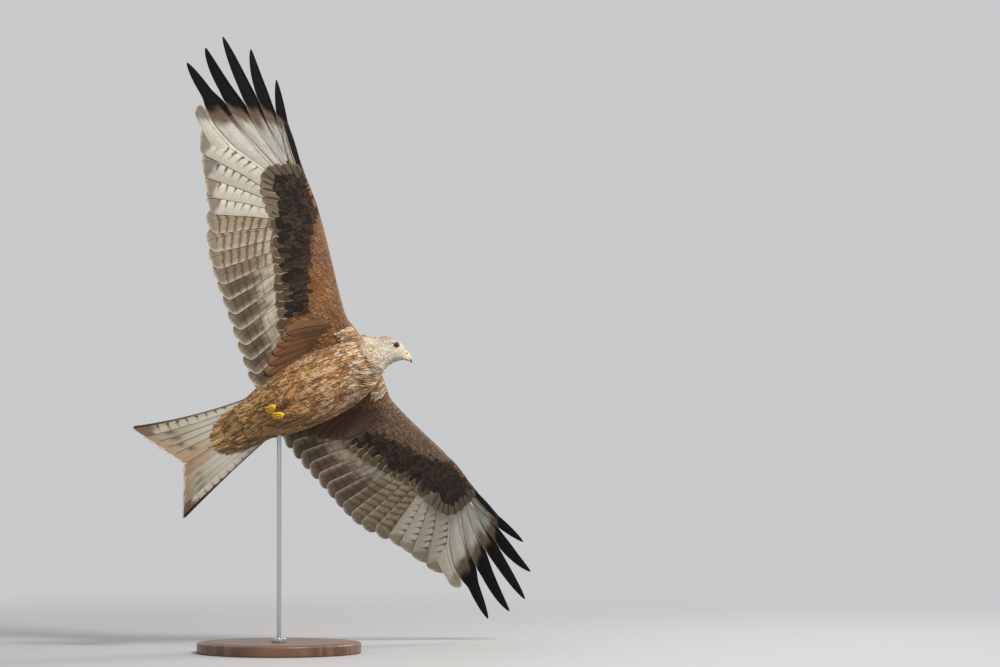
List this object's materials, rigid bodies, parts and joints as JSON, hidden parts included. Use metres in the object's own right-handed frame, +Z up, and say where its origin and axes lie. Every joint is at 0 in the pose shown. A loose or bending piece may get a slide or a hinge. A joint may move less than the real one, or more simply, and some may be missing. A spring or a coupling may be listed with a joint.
{
  "type": "red kite bird model on a display stand",
  "caption": "Life-size red kite with spread, banked wings and a forked tail, held over a round base by a rod",
  "frame": {"origin": "centre of the underside of the stand's round base, on the floor", "axes": "+Z up; the bird's belly faces -Y, its head points to +X and up, and its right wing is raised"},
  "size_m": [0.9006, 0.6584, 1.3766],
  "materials": {
    "plumage_rufous": "soft rufous contour feathers with pale and dark streaks",
    "plumage_brown": "barred brown and whitish flight feathers and coverts",
    "plumage_black": "glossy blackish spread primaries",
    "plumage_pale": "greyish white, finely streaked head feathers",
    "plumage_tail": "rufous above and cream grey below, with fine bars",
    "bill_horn": "horn, yellow at the base and dark at the tip",
    "skin_yellow": "scaled yellow skin",
    "claw_black": "black horn",
    "eye_amber": "wet amber iris round a black pupil",
    "stand_wood": "dark stained, satin",
    "stand_steel": "brushed"
  },
  "bodies": {
    "root": {"bill_lower": "bill_horn", "bill_upper": "bill_horn", "claw_left_1": "claw_black", "claw_left_2": "claw_black", "claw_left_3": "claw_black", "claw_left_4": "claw_black", "claw_right_1": "claw_black", "claw_right_2": "claw_black", "claw_right_3": "claw_black", "claw_right_4": "claw_black", "eye_left": "eye_amber", "eye_right": "eye_amber", "foot_left": "skin_yellow", "foot_right": "skin_yellow", "head": "plumage_pale", "leg_left": "plumage_rufous", "leg_right": "plumage_rufous", "neck": "plumage_rufous", "stand_base": "stand_wood", "stand_collar": "stand_steel", "stand_rod": "stand_steel", "tail_coverts_over": "plumage_rufous", "tail_coverts_under": "plumage_rufous", "tail_left": "plumage_tail", "tail_right": "plumage_tail", "trunk": "plumage_rufous", "wing_left_alula": "plumage_brown", "wing_left_arm": "plumage_brown", "wing_left_hand": "plumage_brown", "wing_left_primary_10": "plumage_black", "wing_left_primary_5": "plumage_black", "wing_left_primary_6": "plumage_black", "wing_left_primary_7": "plumage_black", "wing_left_primary_8": "plumage_black", "wing_left_primary_9": "plumage_black", "wing_right_alula": "plumage_brown", "wing_right_arm": "plumage_brown", "wing_right_hand": "plumage_brown", "wing_right_primary_10": "plumage_black", "wing_right_primary_5": "plumage_black", "wing_right_primary_6": "plumage_black", "wing_right_primary_7": "plumage_black", "wing_right_primary_8": "plumage_black", "wing_right_primary_9": "plumage_black"}
  },
  "joints": []
}
